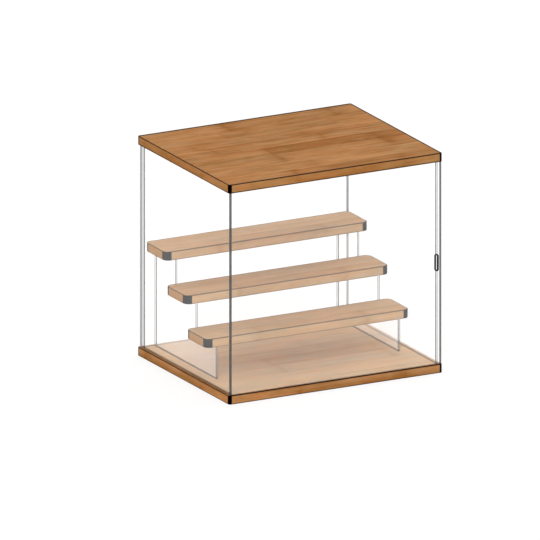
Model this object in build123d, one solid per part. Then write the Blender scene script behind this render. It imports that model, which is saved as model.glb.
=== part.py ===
from build123d import *
import os

# Acrylic display case: wooden base and top, clear walls in milled grooves, a sliding
# front door and a free-standing riser that carries three wooden shelves.
# Millimetres. Origin: centre of the base's underside. +X right, +Y to the rear, +Z up.

# Whole case
case_width = 320.0
case_depth = 260.0
case_height = 304.0
sheet = 3.0                      # thickness of every acrylic sheet

# Base and top boards
board_thickness = 12.0
board_corner_radius = 3.0
side_margin = 4.0                # wood outside the side walls
rear_margin = 4.0                # wood behind the rear wall
front_margin = 3.5               # wood in front of the door
groove_depth = 4.0
groove_play = 0.1                # between a fixed sheet and each side of its groove
wood_ease = 0.5                  # rounding of the wooden arrises
overcut = 1.0                    # how far a cut runs past the wood that it opens

# Black edge bands on the rounded corners
band_thickness = 1.0
band_glue_gap = 0.05

# Sliding door
door_play = 0.25                 # between the door and each side of its grooves
door_floor_play = 0.1
door_head_play = 1.0
pull_width = 5.2
pull_height = 23.5
pull_inset = 6.5                 # from the door's right edge to the slot's middle
liner_wall = 1.0
liner_lip = 0.4                  # how far the liner stands proud of the door's front

# Riser and shelves
tread_count = 3
tread_depth = 58.0
tread_rise = 45.0
riser_plate_inset = 15.0         # from a side wall's inner face to the plate
riser_rear_play = 0.3            # between the riser and the rear wall
shelf_thickness = 12.0
shelf_corner_radius = 8.0
shelf_side_play = 0.5            # between a shelf's end and the side wall
shelf_groove_depth = 1.0
shelf_names = ["lower_shelf", "middle_shelf", "upper_shelf"]

# Places worked out from the sizes above
half_width = case_width / 2
half_depth = case_depth / 2
ceiling_z = case_height - board_thickness
sheet_low_z = board_thickness - groove_depth
sheet_high_z = ceiling_z + groove_depth
wall_outer_x = half_width - side_margin
wall_inner_x = wall_outer_x - sheet
rear_wall_outer_y = half_depth - rear_margin
rear_wall_inner_y = rear_wall_outer_y - sheet
door_front_y = -half_depth + front_margin
door_rear_y = door_front_y + sheet
side_wall_front_y = door_rear_y + door_play
riser_rear_y = rear_wall_inner_y - riser_rear_play
riser_front_y = riser_rear_y - tread_count * tread_depth
plate_outer_x = wall_inner_x - riser_plate_inset
shelf_length = 2 * (wall_inner_x - shelf_side_play)

corner_signs = {
    "front_left": (-1, -1),
    "front_right": (1, -1),
    "rear_left": (-1, 1),
    "rear_right": (1, 1),
}


def block(low, high):
    """A box between two opposite corners."""
    size = [abs(b - a) for a, b in zip(low, high)]
    middle = [(a + b) / 2 for a, b in zip(low, high)]
    return Pos(*middle) * Box(*size)


def rounded_slab(length, depth, thickness, radius):
    """A board with round upright corners and eased arrises, its underside on z = 0."""
    slab = extrude(RectangleRounded(length, depth, radius), thickness)
    return fillet(slab.edges().group_by(Axis.Z)[0] + slab.edges().group_by(Axis.Z)[-1], wood_ease)


def corner_sector(length, depth, thickness, radius, inner_radius, signs):
    """The quarter ring that an edge band fills at one corner of a slab."""
    sign_x, sign_y = signs
    centre_x = sign_x * (length / 2 - radius)
    centre_y = sign_y * (depth / 2 - radius)
    height = thickness + 2 * overcut
    ring = Cylinder(radius + overcut, height) - Cylinder(inner_radius, height)
    quarter = block((0, 0, -thickness), (sign_x * 2 * radius, sign_y * 2 * radius, thickness))
    return Pos(centre_x, centre_y, thickness / 2) * (ring & quarter)


def banded_slab(length, depth, thickness, radius):
    """A slab without its corner bands, and the bands by corner name."""
    slab = rounded_slab(length, depth, thickness, radius)
    band_inner = radius - band_thickness
    core = slab
    bands = {}
    for corner, signs in corner_signs.items():
        bands[corner] = slab & corner_sector(length, depth, thickness, radius, band_inner, signs)
        core -= corner_sector(length, depth, thickness, radius, band_inner - band_glue_gap, signs)
    return core, bands


def board_grooves(low_z, high_z):
    """Grooves for the three fixed sheets and the door, open at the rear and at the right."""
    cuts = []
    for sign in (-1, 1):
        outer = sign * (wall_outer_x + groove_play)
        inner = sign * (wall_inner_x - groove_play)
        cuts.append(block((outer, side_wall_front_y, low_z), (inner, half_depth + overcut, high_z)))
    cuts.append(block((-wall_inner_x, rear_wall_inner_y - groove_play, low_z),
                      (wall_inner_x, rear_wall_outer_y + groove_play, high_z)))
    cuts.append(block((-wall_outer_x - groove_play, door_front_y - door_play, low_z),
                      (half_width + overcut, door_rear_y + door_play, high_z)))
    return cuts


def make_boards():
    """Base and top: one banded slab each, grooved on the face that meets the sheets."""
    core, bands = banded_slab(case_width, case_depth, board_thickness, board_corner_radius)
    parts = {}
    parts["base_board"] = core - board_grooves(sheet_low_z, board_thickness + overcut)
    parts["top_board"] = Pos(0, 0, ceiling_z) * core - board_grooves(ceiling_z - overcut, sheet_high_z)
    for corner, band in bands.items():
        parts["base_corner_" + corner] = band
        parts["top_corner_" + corner] = Pos(0, 0, ceiling_z) * band
    return parts


def make_walls():
    """The three fixed sheets, standing in the grooves of both boards."""
    side = block((-wall_outer_x, side_wall_front_y, sheet_low_z), (-wall_inner_x, half_depth, sheet_high_z))
    rear = block((-wall_inner_x, rear_wall_inner_y, sheet_low_z),
                 (wall_inner_x, rear_wall_outer_y, sheet_high_z))
    return {"left_wall": side, "right_wall": mirror(side, Plane.YZ), "rear_wall": rear}


def slot_shape(width, height, depth):
    """An upright slot with round ends, reaching forward from the plane y = 0."""
    return extrude(Plane.XZ * SlotOverall(height, width, rotation=90), depth)


def make_door():
    """The front sheet with its finger slot, and the liner pressed into the slot."""
    sheet_body = block((-wall_outer_x, door_front_y, sheet_low_z + door_floor_play),
                       (half_width, door_rear_y, sheet_high_z - door_head_play))
    at_pull = Pos(half_width - pull_inset, door_rear_y, case_height / 2)
    cut_depth = 2 * (sheet + liner_lip)
    slot = slot_shape(pull_width, pull_height, cut_depth)
    liner = slot_shape(pull_width, pull_height, sheet + liner_lip)
    bore = slot_shape(pull_width - 2 * liner_wall, pull_height - 2 * liner_wall, cut_depth)
    return {"sliding_door": sheet_body - at_pull * slot, "door_pull_liner": at_pull * (liner - bore)}


def make_riser_plates():
    """Two staircase plates that stand on the base just inside the side walls."""
    points = [(riser_rear_y, 0), (riser_front_y, 0)]
    for step in range(tread_count):
        step_z = (step + 1) * tread_rise
        points.append((riser_front_y + step * tread_depth, step_z))
        points.append((riser_front_y + (step + 1) * tread_depth, step_z))
    profile = Plane.YZ * make_face(Polyline(*points, close=True))
    plate = Pos(-plate_outer_x, 0, board_thickness) * extrude(profile, sheet)
    return {"left_riser_plate": plate, "right_riser_plate": mirror(plate, Plane.YZ)}


def make_shelves():
    """Three equal shelves, grooved underneath to sit on the plates."""
    core, bands = banded_slab(shelf_length, tread_depth, shelf_thickness, shelf_corner_radius)
    for sign in (-1, 1):
        outer = sign * (plate_outer_x + groove_play)
        inner = sign * (plate_outer_x - sheet - groove_play)
        core -= block((outer, -tread_depth, -overcut), (inner, tread_depth, shelf_groove_depth))
    parts = {}
    for step, name in enumerate(shelf_names):
        middle_y = riser_front_y + (step + 0.5) * tread_depth
        under_z = board_thickness + (step + 1) * tread_rise - shelf_groove_depth
        place = Pos(0, middle_y, under_z)
        parts[name] = place * core
        for corner, band in bands.items():
            parts[name + "_corner_" + corner] = place * band
    return parts


os.makedirs("parts", exist_ok=True)
nodes = {**make_boards(), **make_walls(), **make_door(), **make_riser_plates(), **make_shelves()}
for node, shape in nodes.items():
    export_step(shape, f"parts/{node}.step")
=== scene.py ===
import bmesh
import bpy
from mathutils import Matrix, Vector


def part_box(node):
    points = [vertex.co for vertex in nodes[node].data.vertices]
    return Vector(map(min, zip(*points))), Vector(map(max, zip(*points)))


# Looks of a clear display case with wooden boards. Metres, in the frame's own axes.

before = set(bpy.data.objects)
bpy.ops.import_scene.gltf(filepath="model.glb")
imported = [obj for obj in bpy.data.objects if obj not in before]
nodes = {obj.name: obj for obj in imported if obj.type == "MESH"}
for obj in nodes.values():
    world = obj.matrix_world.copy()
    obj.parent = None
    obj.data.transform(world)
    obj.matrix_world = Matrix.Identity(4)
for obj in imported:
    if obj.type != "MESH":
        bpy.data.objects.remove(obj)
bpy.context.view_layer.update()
print("frame loaded,", len(nodes), "pieces")

mm = 0.001
white = (1, 1, 1, 1)
black = (0, 0, 0, 1)


# Camera: a parallel view, because the case is drawn without perspective
cameraSetup = {
    "right": Vector((0.8838, -0.4679, 0.0)),
    "up": Vector((0.1347, 0.2544, 0.9577)),
    "sideShift": -0.02646,       # from the case's origin to the middle of the view
    "heightShift": 0.12438,
    "viewWidth": 0.7159,
    "distance": 3.0,
    "clipEnd": 30.0,
}


def makeCamera(setup):
    right = setup["right"].normalized()
    up = (setup["up"] - right * setup["up"].dot(right)).normalized()
    back = right.cross(up)
    place = right * setup["sideShift"] + up * setup["heightShift"] + back * setup["distance"]
    data = bpy.data.cameras.new("camera")
    data.type = "ORTHO"
    data.ortho_scale = setup["viewWidth"]
    data.clip_end = setup["clipEnd"]
    camera = bpy.data.objects.new("camera", data)
    bpy.context.scene.collection.objects.link(camera)
    turn = Matrix((right, up, back)).transposed().to_4x4()
    camera.matrix_world = Matrix.Translation(place) @ turn
    bpy.context.scene.camera = camera


makeCamera(cameraSetup)
print("camera made")


# Sets a node's inputs. Each is a value or the output of another node.
def setInputs(tree, node, inputs):
    for name, value in inputs.items():
        if isinstance(value, bpy.types.NodeSocket):
            tree.links.new(value, node.inputs[name])
        else:
            node.inputs[name].default_value = value


def addNode(tree, kind, inputs=None, **settings):
    node = tree.nodes.new("ShaderNode" + kind)
    for name, value in settings.items():
        setattr(node, name, value)
    setInputs(tree, node, inputs or {})
    return node


def calc(tree, operation, *values, clamp=False):
    inputs = dict(enumerate(values))
    return addNode(tree, "Math", inputs, operation=operation, use_clamp=clamp).outputs[0]


def vectorCalc(tree, operation, *values):
    node = addNode(tree, "VectorMath", dict(enumerate(values)), operation=operation)
    return node.outputs["Value" if operation == "DOT_PRODUCT" else "Vector"]


def splitVector(tree, vector):
    return addNode(tree, "SeparateXYZ", {0: vector}).outputs


# Blends two colours by a mask. The Mix node has its colour sockets at 6 and 7.
def blendColor(tree, mask, first, second):
    node = addNode(tree, "Mix", data_type="RGBA")
    setInputs(tree, node, {0: mask, 6: first, 7: second})
    return node.outputs[2]


# Rises smoothly from nought at one end of a range to "full" at its other end
def remap(tree, value, start, end, full=1.0):
    inputs = {"Value": value, "From Min": start, "From Max": end, "To Min": 0.0, "To Max": full}
    return addNode(tree, "MapRange", inputs, interpolation_type="SMOOTHSTEP", clamp=True).outputs[0]


def newGroup(name, inputs, outputs):
    tree = bpy.data.node_groups.new(name, "ShaderNodeTree")
    for label, kind in inputs:
        tree.interface.new_socket(label, in_out="INPUT", socket_type="NodeSocket" + kind)
    for label, kind in outputs:
        tree.interface.new_socket(label, in_out="OUTPUT", socket_type="NodeSocket" + kind)
    return tree, tree.nodes.new("NodeGroupInput").outputs, tree.nodes.new("NodeGroupOutput").inputs


def placeGroup(tree, group, inputs):
    node = tree.nodes.new("ShaderNodeGroup")
    node.node_tree = group
    setInputs(tree, node, inputs)
    return node.outputs


arrisSetup = {
    "softness": 0.15,            # of the line's own width
    "uprightFace": 0.5,          # a side face's normal points up or down by less than this
}


# Mask of a box's arrises: there the second nearest face is closer than the line's width.
# Low Width holds for the arrises at the box's low sides, High Width at its high sides.
# Corner is the mask of the upright corners, as far as the corner width.
def makeArrisGroup(setup):
    tree, given, result = newGroup(
        "arrisLine", [("Low", "Vector"), ("High", "Vector"), ("Low Width", "Vector"),
                      ("High Width", "Vector"), ("Corner Width", "Float")],
        [("Line", "Float"), ("Corner", "Float"), ("Gap", "Vector")])
    coords = addNode(tree, "TexCoord").outputs
    fromLow = vectorCalc(tree, "ABSOLUTE", vectorCalc(tree, "SUBTRACT", coords["Object"], given["Low"]))
    fromHigh = vectorCalc(tree, "ABSOLUTE", vectorCalc(tree, "SUBTRACT", given["High"], coords["Object"]))
    inWidths = vectorCalc(tree, "MINIMUM", vectorCalc(tree, "DIVIDE", fromLow, given["Low Width"]),
                          vectorCalc(tree, "DIVIDE", fromHigh, given["High Width"]))
    x, y, z = splitVector(tree, inWidths)[:3]
    lower = calc(tree, "MINIMUM", x, y)
    upper = calc(tree, "MAXIMUM", x, y)
    second = calc(tree, "MAXIMUM", lower, calc(tree, "MINIMUM", upper, z))
    line = remap(tree, second, 1.0 + setup["softness"], 1.0 - setup["softness"])
    tree.links.new(line, result["Line"])
    gap = vectorCalc(tree, "MINIMUM", fromLow, fromHigh)
    tree.links.new(gap, result["Gap"])
    x, y = splitVector(tree, gap)[:2]
    upright = calc(tree, "LESS_THAN", calc(tree, "MAXIMUM", x, y), given["Corner Width"])
    facingUp = calc(tree, "ABSOLUTE", splitVector(tree, coords["Normal"])[2])
    onSide = calc(tree, "LESS_THAN", facingUp, setup["uprightFace"])
    tree.links.new(calc(tree, "MULTIPLY", upright, onSide), result["Corner"])
    return tree


# The figure of bamboo board, in millimetres
bambooSetup = {
    # Strips across a board: width, place of the first node, how dark the strip is past that
    # node, and how strong its nodes are
    "strips": [
        (24, 105, 0.25, 0.7),
        (38, 152, 0.0, 0.12),
        (36, 120, 0.1, 0.95),
        (32, 118, 1.0, 1.0),
        (30, 53, 0.45, 0.4),
        (26, 37, 0.25, 0.4),
        (32, 98, 0.15, 0.2),
        (42, 119, 0.3, 0.9),
    ],
    "wander": 7.0,               # how far the strips' edges stray
    "glueLine": 2.2,
    "nodeSpacing": 162.0,
    "nodeWidth": 7.0,
    "nodeShade": 0.75,
    "nodeWander": 16.0,          # how far a node strays along its strip
    "haloWidth": 23.8,           # of the darker wood around a node
    "lengthSeed": 0.3,           # of the tones of the lengths between nodes
    "endStart": 27.0,            # the strip on a board's end starts this far along
    "endFacing": (0.6, 0.8),     # the part of a normal along X that makes a face an end
    # Noises: scale along, across and down the strips, detail, roughness and distortion
    "noises": {
        "wander": ((0.006, 0.02, 0.02), 2.0, 0.6, 0.0),
        "ragged": ((0.05, 0.12, 0.12), 3.0, 0.6, 0.0),
        "streaks": ((0.0075, 0.13, 0.13), 4.0, 0.62, 0.4),
        "fibres": ((0.016, 0.55, 0.55), 3.0, 0.65, 0.0),
        "clouds": ((0.022, 0.05, 0.05), 4.0, 0.6, 0.8),
        "spots": ((0.03, 0.07, 0.07), 2.0, 0.6, 0.0),
        "hue": ((0.012, 0.045, 0.045), 4.0, 0.65, 0.6),
    },
    # The values between which a noise's mask rises from nought to one
    "ranges": {
        "streaks": (0.35, 0.6),
        "fibres": (0.45, 0.75),
        "clouds": (0.3, 0.6),
        "spots": (0.60, 0.78),
        "hue": (0.38, 0.62),
    },
    # How much each part of the figure darkens the wood
    "weights": {
        "streaks": 1.7,
        "length": 0.22,
        "clouds": 1.2,
        "fibres": 0.9,
        "darkStrip": 0.45,
        "glue": 0.35,
        "halo": 0.28,
        "end": 0.1,
    },
    "palest": 1.14,              # the sum of these at which the wood is palest
    "rustReach": (14.0, 1.0),    # from a glue line, where the rust starts and where it is full
    "stripRust": 0.85,
    "rustStrength": 0.8,
}


# A ramp across the strips. Its stops are the strips' edges and its colours their own values: the
# node's place, the darkness, the strip's number and, as alpha, the nodes' strength.
def stripRamp(tree, across, setup):
    strips = setup["strips"]
    total = sum(strip[0] for strip in strips)
    ramp = addNode(tree, "ValToRGB", {0: calc(tree, "DIVIDE", across, total)})
    ramp.color_ramp.interpolation = "CONSTANT"
    stops = ramp.color_ramp.elements
    firstStops = len(stops)
    edge = 0.0
    for number, (width, node, dark, nodeStrength) in enumerate(strips):
        stop = stops[number] if number < firstStops else stops.new(edge / total)
        stop.position = edge / total
        stop.color = (node / setup["nodeSpacing"], dark, number / len(strips), nodeStrength)
        edge += width
    parts = addNode(tree, "SeparateColor", {0: ramp.outputs[0]}).outputs
    return parts[0], parts[1], parts[2], ramp.outputs[1]


# Distance to the nearest glue line between two strips
def stripEdges(tree, across, setup):
    edge = 0.0
    nearest = None
    for strip in setup["strips"][:-1]:
        edge += strip[0]
        gap = calc(tree, "ABSOLUTE", calc(tree, "SUBTRACT", across, edge))
        nearest = calc(tree, "MINIMUM", gap, nearest) if nearest else gap
    return nearest


# Bamboo strips with their grain along X, and along Y on the boards' two ends
def makeBambooGroup(setup):
    tree, given, result = newGroup(
        "bamboo", [("Low", "Vector"), ("Start", "Float"), ("Seed", "Float")],
        [("Tone", "Float"), ("Rust", "Float"), ("Pores", "Float"), ("Pale Spots", "Float"),
         ("End", "Float"), ("Hue", "Float")])
    coords = addNode(tree, "TexCoord").outputs
    facingEnd = calc(tree, "ABSOLUTE", splitVector(tree, coords["Normal"])[0])
    onEnd = remap(tree, facingEnd, *setup["endFacing"])
    local = vectorCalc(tree, "SUBTRACT", coords["Object"], given["Low"])
    x, y, z = splitVector(tree, vectorCalc(tree, "MULTIPLY", local, (1 / mm,) * 3))[:3]
    mainAlong = calc(tree, "ADD", x, given["Start"])
    endAlong = calc(tree, "ADD", y, setup["endStart"])
    endShift = calc(tree, "MULTIPLY", onEnd, calc(tree, "SUBTRACT", endAlong, mainAlong))
    along = calc(tree, "ADD", mainAlong, endShift)
    across = calc(tree, "MULTIPLY", y, calc(tree, "SUBTRACT", 1.0, onEnd))
    place = addNode(tree, "CombineXYZ", {0: along, 1: across, 2: z}).outputs[0]
    seed = addNode(tree, "CombineXYZ", {2: given["Seed"]}).outputs[0]
    seeded = vectorCalc(tree, "ADD", place, seed)

    def noise(name):
        stretch, detail, roughness, distortion = setup["noises"][name]
        scaled = vectorCalc(tree, "MULTIPLY", seeded, stretch)
        return addNode(tree, "TexNoise", {"Vector": scaled, "Scale": 1.0, "Detail": detail,
                                          "Roughness": roughness, "Distortion": distortion}).outputs[0]

    def rangeMask(name, value):
        return remap(tree, value, *setup["ranges"][name])

    # A noise's values lie around a half
    def centred(value):
        return calc(tree, "SUBTRACT", value, 0.5)

    waved = calc(tree, "MULTIPLY_ADD", centred(noise("wander")), setup["wander"], across)
    node, dark, number, nodeStrength = stripRamp(tree, waved, setup)
    edgeGap = stripEdges(tree, waved, setup)

    # How many nodes lie before this place on its strip. The nodes are at the whole numbers.
    spacing = setup["nodeSpacing"]
    past = calc(tree, "SUBTRACT", calc(tree, "DIVIDE", along, spacing), node)
    ragged = centred(noise("ragged"))
    bent = calc(tree, "MULTIPLY_ADD", ragged, setup["nodeWander"] / spacing, past)
    offset = calc(tree, "SUBTRACT", bent, calc(tree, "ROUND", bent))
    distance = calc(tree, "MULTIPLY", calc(tree, "ABSOLUTE", offset), spacing)
    core = remap(tree, distance, setup["nodeWidth"], 0.0, setup["nodeShade"])
    core = calc(tree, "MULTIPLY", core, nodeStrength)
    halo = calc(tree, "MULTIPLY", remap(tree, distance, setup["haloWidth"], 0.0), nodeStrength)
    length = addNode(tree, "CombineXYZ", {0: calc(tree, "FLOOR", past), 1: number,
                                          2: setup["lengthSeed"]}).outputs[0]
    lengthTone = addNode(tree, "TexWhiteNoise", {"Vector": length}, noise_dimensions="3D").outputs[0]
    darkStrip = calc(tree, "MULTIPLY", dark, calc(tree, "GREATER_THAN", past, 0.0))

    streaks = noise("streaks")
    fibres = noise("fibres")
    clouds = noise("clouds")
    onStreak = rangeMask("streaks", streaks)
    glue = calc(tree, "MULTIPLY", remap(tree, edgeGap, setup["glueLine"], 0.0), onStreak)
    shades = {"streaks": streaks, "length": lengthTone, "clouds": clouds, "fibres": centred(fibres),
              "darkStrip": darkStrip, "glue": glue, "halo": halo, "end": onEnd}
    tone = 0.0
    for name, weight in setup["weights"].items():
        tone = calc(tree, "MULTIPLY_ADD", shades[name], weight, tone)
    tone = calc(tree, "SUBTRACT", tone, setup["palest"], clamp=True)
    rust = calc(tree, "MULTIPLY", darkStrip, remap(tree, edgeGap, *setup["rustReach"]))
    rust = calc(tree, "MULTIPLY", rust, onStreak)
    nodeRust = calc(tree, "MULTIPLY", core, rangeMask("clouds", clouds))
    rust = calc(tree, "MULTIPLY_ADD", rust, setup["stripRust"], nodeRust)
    rust = calc(tree, "MULTIPLY", rust, setup["rustStrength"], clamp=True)
    found = {
        "Tone": tone,
        "Rust": rust,
        "Pores": rangeMask("fibres", fibres),
        "Pale Spots": rangeMask("spots", noise("spots")),
        "End": onEnd,
        "Hue": rangeMask("hue", noise("hue")),
    }
    for name, value in found.items():
        tree.links.new(value, result[name])
    return tree


# One inside a box, nought outside it
def makeInsideGroup():
    tree, given, result = newGroup(
        "insideBox", [("Low", "Vector"), ("High", "Vector")], [("Inside", "Float")])
    place = addNode(tree, "TexCoord").outputs["Object"]
    margins = vectorCalc(tree, "MINIMUM", vectorCalc(tree, "SUBTRACT", place, given["Low"]),
                         vectorCalc(tree, "SUBTRACT", given["High"], place))
    x, y, z = splitVector(tree, margins)[:3]
    least = calc(tree, "MINIMUM", calc(tree, "MINIMUM", x, y), z)
    tree.links.new(calc(tree, "GREATER_THAN", least, 0.0), result["Inside"])
    return tree


hazeSetup = {
    "detail": 4.0,
    "roughness": 0.7,
    "range": (0.4, 0.75),        # of the noise, from a clean place to a full smear
}


# Faint smears of a handled surface
def makeHazeGroup(setup):
    tree, given, result = newGroup("haze", [("Size", "Float")], [("Smears", "Float")])
    place = addNode(tree, "TexCoord").outputs["Object"]
    smears = addNode(tree, "TexNoise", {
        "Vector": place, "Scale": given["Size"], "Detail": setup["detail"],
        "Roughness": setup["roughness"]}).outputs[0]
    tree.links.new(remap(tree, smears, *setup["range"]), result["Smears"])
    return tree


arrisGroup = makeArrisGroup(arrisSetup)
bambooGroup = makeBambooGroup(bambooSetup)
insideGroup = makeInsideGroup()
hazeGroup = makeHazeGroup(hazeSetup)
print("shader groups made")


def newMaterial(name):
    material = bpy.data.materials.new(name)
    material.use_nodes = True
    tree = material.node_tree
    tree.nodes.clear()
    output = tree.nodes.new("ShaderNodeOutputMaterial")
    return material, tree, output


def setMaterial(piece, material):
    piece.data.materials.clear()
    piece.data.materials.append(material)


# Tones of the wood: outside the sheets on the top and the base, and inside them on the shelves
# and the base. The inside tones are the same bamboo painted paler: a painted reflection of the
# sheets' veil, and painted light against the shade inside the case
woodTones = {
    "top": {
        "pale": (0.485, 0.238, 0.092, 1),
        "brown": (0.302, 0.114, 0.024, 1),
        "rust": (0.240, 0.078, 0.008, 1),
    },
    "base": {
        "pale": (0.552, 0.275, 0.115, 1),
        "brown": (0.347, 0.133, 0.031, 1),
        "rust": (0.270, 0.090, 0.012, 1),
    },
    "shelf": {
        "pale": (0.665, 0.450, 0.268, 1),
        "brown": (0.535, 0.322, 0.163, 1),
        "rust": (0.470, 0.245, 0.100, 1),
    },
    "floor": {
        "pale": (0.700, 0.485, 0.302, 1),
        "brown": (0.625, 0.402, 0.230, 1),
        "rust": (0.560, 0.315, 0.150, 1),
    },
}
woodFinish = {
    # Darker tone that the shelves' two ends turn to
    "endGrain": (0.375, 0.160, 0.030, 1),
    "warmHue": (1.05, 1.0, 0.93, 1),
    "coolHue": (0.94, 1.005, 1.04, 1),
    "spot": 0.35,                # how pale the pale spots are
    "arris": (0.010, 0.005, 0.003, 1),
    "cornerShade": 0.97,
    "besideBand": 1.3 * mm,      # width of the dark joint where the wood meets a black band
    "grooveLine": 1.3 * mm,      # width of the painted shade line where the wood meets a sheet
    "grooveHeight": 0.2 * mm,    # how far above or below the grooved face that joint reaches
    "roughness": 0.62,
    "poreRoughness": 0.12,
    "poreBump": 0.3,
    "poreDepth": 0.05 * mm,
    "gloss": 0.06,
}
# How dark the painted shade lines in the gaps beside each sheet are
grooveShade = {"left_wall": 0.66, "right_wall": 0.16, "rear_wall": 0.16}


# Mask of the painted shade lines in the gaps along the fixed sheets, on the board's grooved face
def grooveLines(tree, faceZ):
    width = woodFinish["grooveLine"]
    place = splitVector(tree, addNode(tree, "TexCoord").outputs["Object"])
    mask = 0.0
    for sheet, shade in grooveShade.items():
        low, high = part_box(sheet)
        axis = min((0, 1), key=lambda side: high[side] - low[side])
        for middle in (low[axis] - width / 2, high[axis] + width / 2):
            line = calc(tree, "COMPARE", place[axis], middle, width / 2)
            mask = calc(tree, "MAXIMUM", calc(tree, "MULTIPLY", line, shade), mask)
    onFace = calc(tree, "COMPARE", place[2], faceZ, woodFinish["grooveHeight"])
    return calc(tree, "MULTIPLY", mask, onFace)


# Inside the painted-light box, the box that is seen through the clear sheets, the wood is painted paler:
# painted light, not a tone of the bamboo
def makeWood(node, finish, paintedLightBox):
    low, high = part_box(node)
    bandLow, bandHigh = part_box(node.replace("_board", "") + "_corner_front_left")
    cornerRadius = bandHigh.x - bandLow.x
    material, tree, output = newMaterial(node + "_bamboo")
    bamboo = placeGroup(tree, bambooGroup, {
        "Low": low, "Start": finish["start"], "Seed": finish["seed"]})
    inside = placeGroup(tree, insideGroup, paintedLightBox)["Inside"]
    outerTones = woodTones[finish["outer"]]
    innerTones = woodTones[finish["inner"]]
    tones = {name: blendColor(tree, inside, outerTones[name], innerTones[name]) for name in outerTones}
    color = blendColor(tree, bamboo["Tone"], tones["pale"], tones["brown"])
    color = blendColor(tree, bamboo["Rust"], color, tones["rust"])
    hue = blendColor(tree, bamboo["Hue"], woodFinish["warmHue"], woodFinish["coolHue"])
    color = vectorCalc(tree, "MULTIPLY", color, hue)
    spots = calc(tree, "MULTIPLY", bamboo["Pale Spots"], woodFinish["spot"])
    color = blendColor(tree, spots, color, tones["pale"])
    endShade = calc(tree, "MULTIPLY", bamboo["End"], finish["endShade"])
    color = blendColor(tree, endShade, color, finish["endTone"])
    lines = placeGroup(tree, arrisGroup, {
        "Low": low, "High": high, "Low Width": Vector(finish["low"]) * mm,
        "High Width": Vector(finish["high"]) * mm, "Corner Width": cornerRadius + woodFinish["besideBand"]})
    line = calc(tree, "MULTIPLY", lines["Line"], finish["dark"])
    corner = calc(tree, "MULTIPLY", lines["Corner"], woodFinish["cornerShade"])
    line = calc(tree, "MAXIMUM", line, corner)
    # Painted shade where the sheets enter their grooves
    if "grooved" in finish:
        line = calc(tree, "MAXIMUM", line, grooveLines(tree, finish["grooved"]))
    color = blendColor(tree, line, color, woodFinish["arris"])
    roughness = calc(tree, "MULTIPLY_ADD", bamboo["Pores"], woodFinish["poreRoughness"],
                     woodFinish["roughness"])
    bump = addNode(tree, "Bump", {
        "Height": bamboo["Pores"], "Strength": woodFinish["poreBump"],
        "Distance": woodFinish["poreDepth"]}, invert=True)
    shader = addNode(tree, "BsdfPrincipled", {
        "Base Color": color, "Roughness": roughness, "Normal": bump.outputs[0],
        "Specular IOR Level": woodFinish["gloss"]})
    tree.links.new(shader.outputs[0], output.inputs[0])
    return material


acrylicFinish = {
    # The faces are white at a low alpha: a painted reflection that veils what is behind them
    "clear": (0.99, 0.99, 0.99, 1),
    # Dark grey of the arris lines, and of the cut edges and foot lines, where it is painted shade
    "edge": (0.012, 0.012, 0.012, 1),
    "roughness": 0.04,
    "smearSize": 22.0,
    "smearRoughness": 0.05,
    "ior": 1.49,
    "glow": 0.32,                # painted glow: the sheet emits light of its own, which lifts what is seen through it
    "lineWidth": 0.5 * mm,
    "levelLine": 0.01,           # width factor of the level arrises, which the foot line covers
    "widestAcross": 1.8,         # greatest width factor across the sheet's thickness
    "footWidth": 0.7 * mm,
    "rimFacing": (0.8, 0.2),     # the part of a normal across the sheet, from face to cut edge
}
# How much each sheet veils what is behind it, through its faces, its cut edges, the arrises of
# these and its foot and head. "dark" is how dark the painted shade on a cut edge is and "wide" widens the
# arrises.
sheetFinish = {
    "sliding_door": {"face": 0.05, "rim": 0.36, "line": 0.80, "foot": 0.7, "dark": 0.8, "wide": 3.4},
    "left_wall": {"face": 0.05, "rim": 0.38, "line": 0.95, "foot": 0.0, "dark": 0.8, "wide": 1.8},
    "right_wall": {"face": 0.10, "rim": 0.14, "line": 0.95, "foot": 0.12, "dark": 0.8, "wide": 1.8},
    "rear_wall": {"face": 0.10, "rim": 0.60, "line": 0.90, "foot": 0.12, "dark": 0.8, "wide": 1.6},
    "left_riser_plate": {"face": 0.13, "rim": 0.10, "line": 0.98, "foot": 0.32, "dark": 0.0, "wide": 1.8},
    "right_riser_plate": {"face": 0.13, "rim": 0.10, "line": 0.98, "foot": 0.32, "dark": 0.0, "wide": 1.8},
}
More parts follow.
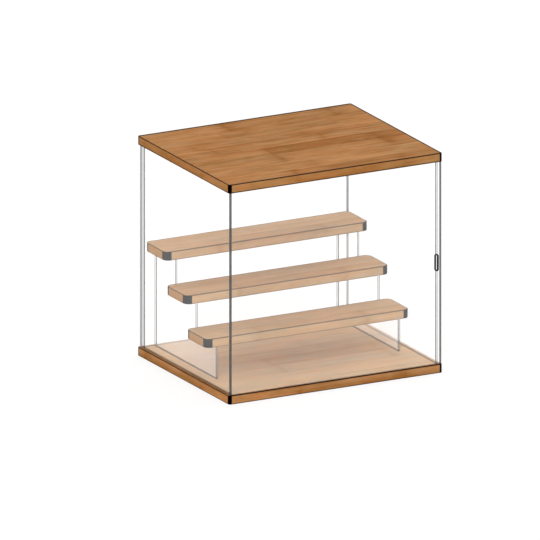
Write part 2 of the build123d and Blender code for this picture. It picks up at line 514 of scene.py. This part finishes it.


# A fixed sheet has its foot and head lines where it leaves the boards, and the door at its own
# lower and upper edges. These lines and the cut edges are painted dark: painted shade.
def makeAcrylic(node, finish, footZ, headZ):
    low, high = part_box(node)
    low.z = max(low.z, footZ)
    high.z = min(high.z, headZ)
    material, tree, output = newMaterial(node + "_acrylic")
    size = high - low
    thickness = min(range(3), key=lambda axis: size[axis])
    across = Vector([1.0 if axis == thickness else 0.0 for axis in range(3)])
    normal = addNode(tree, "TexCoord").outputs["Normal"]
    facing = calc(tree, "ABSOLUTE", vectorCalc(tree, "DOT_PRODUCT", normal, across))
    rim = remap(tree, facing, *acrylicFinish["rimFacing"])
    width = acrylicFinish["lineWidth"]
    wide = finish["wide"]
    acrossWidth = width * min(wide, acrylicFinish["widestAcross"])
    widths = Vector((width * wide, width * wide, width * acrylicFinish["levelLine"]))
    widths[thickness] = acrossWidth
    lines = placeGroup(tree, arrisGroup, {
        "Low": low, "High": high, "Low Width": widths, "High Width": widths})
    gap = vectorCalc(tree, "DOT_PRODUCT", lines["Gap"], across)
    rimLine = calc(tree, "MULTIPLY", rim, calc(tree, "LESS_THAN", gap, acrossWidth))
    line = calc(tree, "MAXIMUM", lines["Line"], rimLine)
    # The foot and head lines are painted shade where the sheet enters the boards
    gapZ = splitVector(tree, lines["Gap"])[2]
    foot = calc(tree, "LESS_THAN", gapZ, acrylicFinish["footWidth"])
    lined = calc(tree, "MAXIMUM", line, foot)
    # The cut edges are painted dark too: painted shade of the sheet's edges
    dark = calc(tree, "MAXIMUM", lined, calc(tree, "MULTIPLY", rim, finish["dark"]))
    color = blendColor(tree, dark, acrylicFinish["clear"], acrylicFinish["edge"])
    # The sheet glows white except on its dark lines: painted glow, though the sheet is no lamp
    glow = blendColor(tree, dark, white, black)
    alpha = calc(tree, "MULTIPLY_ADD", rim, finish["rim"] - finish["face"], finish["face"])
    alpha = calc(tree, "MAXIMUM", alpha, calc(tree, "MULTIPLY", foot, finish["foot"]))
    alpha = calc(tree, "MAXIMUM", alpha, calc(tree, "MULTIPLY", line, finish["line"]))
    smears = placeGroup(tree, hazeGroup, {"Size": acrylicFinish["smearSize"]})["Smears"]
    roughness = calc(tree, "MULTIPLY_ADD", smears, acrylicFinish["smearRoughness"],
                     acrylicFinish["roughness"])
    shader = addNode(tree, "BsdfPrincipled", {
        "Base Color": color, "Roughness": roughness, "Alpha": alpha, "IOR": acrylicFinish["ior"],
        "Emission Color": glow, "Emission Strength": acrylicFinish["glow"]})
    tree.links.new(shader.outputs[0], output.inputs[0])
    return material


# The corner bands and the door pull's liner are painted black: painted shade that stands for the dark shade
# on these curved faces, not a colour of their own
bandFinish = {
    "color": (0.0008, 0.0008, 0.0008, 1),
    "worn": (0.003, 0.003, 0.003, 1),
    "roughness": 0.55,
    "smearSize": 160.0,
    "smearRoughness": 0.15,
    "gloss": 0.0,
}


def makeCurvedFaceShadeBlack():
    material, tree, output = newMaterial("blackPlastic")
    smears = placeGroup(tree, hazeGroup, {"Size": bandFinish["smearSize"]})["Smears"]
    color = blendColor(tree, smears, bandFinish["color"], bandFinish["worn"])
    roughness = calc(tree, "MULTIPLY_ADD", smears, bandFinish["smearRoughness"],
                     bandFinish["roughness"])
    shader = addNode(tree, "BsdfPrincipled", {
        "Base Color": color, "Roughness": roughness, "Specular IOR Level": bandFinish["gloss"]})
    tree.links.new(shader.outputs[0], output.inputs[0])
    return material


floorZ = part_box("base_board")[1].z
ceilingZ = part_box("top_board")[0].z

# The nodes of a board's strips start at "start" and its grain has its own seed, both in
# millimetres. "low" and "high" are the widths of the dark arrises at the low and the high sides,
# in millimetres, and "dark" is their strength. "outer" and "inner" name the tones outside and
# inside the sheets, "endShade" is how far the two ends turn to "endTone", and "grooved" is the
# height of the grooved face.
boardFinish = {
    "base_board": {
        "start": 0.0,
        "seed": 0.0,
        "low": (1.3, 3.3, 1.2),
        "high": (0.5, 0.5, 0.9),
        "dark": 0.97,
        "outer": "base",
        "inner": "floor",
        "endShade": 0.0,
        "endTone": woodTones["base"]["pale"],
        "grooved": floorZ,
    },
    "top_board": {
        "start": 0.0,
        "seed": 40.0,
        "low": (1.2, 2.6, 1.6),
        "high": (2.8, 4.8, 1.0),
        "dark": 0.88,
        "outer": "top",
        "inner": "shelf",
        "endShade": 0.08,
        "endTone": woodTones["top"]["rust"],
        "grooved": ceilingZ,
    },
}
shelfSeeds = {"lower_shelf": 300.0, "middle_shelf": 500.0, "upper_shelf": 700.0}
for name, seed in shelfSeeds.items():
    boardFinish[name] = {
        "start": 25.0,
        "seed": seed,
        "low": (1.4, 2.4, 1.0),
        "high": (1.4, 2.4, 1.0),
        "dark": 0.66,
        "outer": "top",
        "inner": "shelf",
        "endShade": 0.75,
        "endTone": woodFinish["endGrain"],
    }

# The box of paler painted wood reaches from the left wall and the door to the base's right and
# rear ends, because these ledges are seen through two sheets
paintedLightMargin = 0.6 * mm
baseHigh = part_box("base_board")[1]
paintedLightBox = {
    "Low": Vector((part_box("left_wall")[1].x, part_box("sliding_door")[0].y, floorZ - paintedLightMargin)),
    "High": Vector((baseHigh.x, baseHigh.y, ceilingZ + paintedLightMargin)),
}
for name, finish in boardFinish.items():
    setMaterial(nodes[name], makeWood(name, finish, paintedLightBox))

for name, finish in sheetFinish.items():
    slides = name == "sliding_door"
    heights = [corner.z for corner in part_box(name)] if slides else (floorZ, ceilingZ)
    setMaterial(nodes[name], makeAcrylic(name, finish, *heights))

# Painted shade: the curved corner bands and the pull's liner are made black
blackPlastic = makeCurvedFaceShadeBlack()
for name in nodes:
    if "_corner_" in name or name == "door_pull_liner":
        setMaterial(nodes[name], blackPlastic)
print("finishes given to", len(nodes), "pieces")


floorSetup = {
    "size": 24.0,
    "color": (0.85, 0.85, 0.85, 1),
    "seenColor": (0.26, 0.26, 0.26, 1),
    "glow": 0.76,                # the rest of white, seen by the camera and by gloss alone
    "roughness": 0.9,
    "gloss": 0.0,
}


# One where the camera, a gloss or a clear piece looks, nought for the light on the case
def seenDirectly(tree):
    path = addNode(tree, "LightPath").outputs
    seen = calc(tree, "ADD", path["Is Camera Ray"], path["Is Glossy Ray"], clamp=True)
    return calc(tree, "ADD", seen, path["Is Transmission Ray"], clamp=True)


def makeFloor(setup):
    mesh = bpy.data.meshes.new("floor")
    shape = bmesh.new()
    bmesh.ops.create_grid(shape, x_segments=1, y_segments=1, size=setup["size"] / 2)
    shape.to_mesh(mesh)
    shape.free()
    floor = bpy.data.objects.new("floor", mesh)
    bpy.context.scene.collection.objects.link(floor)
    material, tree, output = newMaterial("floorPaint")
    seen = seenDirectly(tree)
    color = blendColor(tree, seen, setup["color"], setup["seenColor"])
    glow = calc(tree, "MULTIPLY", seen, setup["glow"])
    shader = addNode(tree, "BsdfPrincipled", {
        "Base Color": color, "Roughness": setup["roughness"], "Specular IOR Level": setup["gloss"],
        "Emission Color": white, "Emission Strength": glow})
    tree.links.new(shader.outputs[0], output.inputs[0])
    mesh.materials.append(material)


makeFloor(floorSetup)

lightSetup = {
    "worldLevel": 0.82,
    "lamps": {
        "keyLamp": {"place": (-2.0, -1.9, 1.6), "size": 2.6, "power": 38.0},
        "fillLamp": {"place": (2.2, 1.6, 1.6), "size": 2.4, "power": 28.0},
    },
    "aim": Vector((0.0, 0.0, 0.15)),
}


# The world is white where it is seen directly and lights the case a little less
def makeWorld(level):
    world = bpy.data.worlds.new("world")
    world.use_nodes = True
    tree = world.node_tree
    tree.nodes.clear()
    output = tree.nodes.new("ShaderNodeOutputWorld")
    strength = calc(tree, "MULTIPLY_ADD", seenDirectly(tree), 1.0 - level, level)
    sky = addNode(tree, "Background", {"Color": white, "Strength": strength})
    tree.links.new(sky.outputs[0], output.inputs[0])
    bpy.context.scene.world = world


def makeLamps(setup):
    for name, lamp in setup["lamps"].items():
        data = bpy.data.lights.new(name, "AREA")
        data.energy = lamp["power"]
        data.size = lamp["size"]
        lampObject = bpy.data.objects.new(name, data)
        bpy.context.scene.collection.objects.link(lampObject)
        place = Vector(lamp["place"])
        turn = (setup["aim"] - place).to_track_quat("-Z", "Y")
        lampObject.matrix_world = Matrix.Translation(place) @ turn.to_matrix().to_4x4()
        lampObject.visible_glossy = False
        lampObject.visible_camera = False


makeWorld(lightSetup["worldLevel"])
makeLamps(lightSetup)
clearFaceLimit = 40              # a view goes through many clear faces
bpy.context.scene.view_settings.view_transform = "Standard"
bpy.context.scene.cycles.transparent_max_bounces = clearFaceLimit
print("light and floor made")
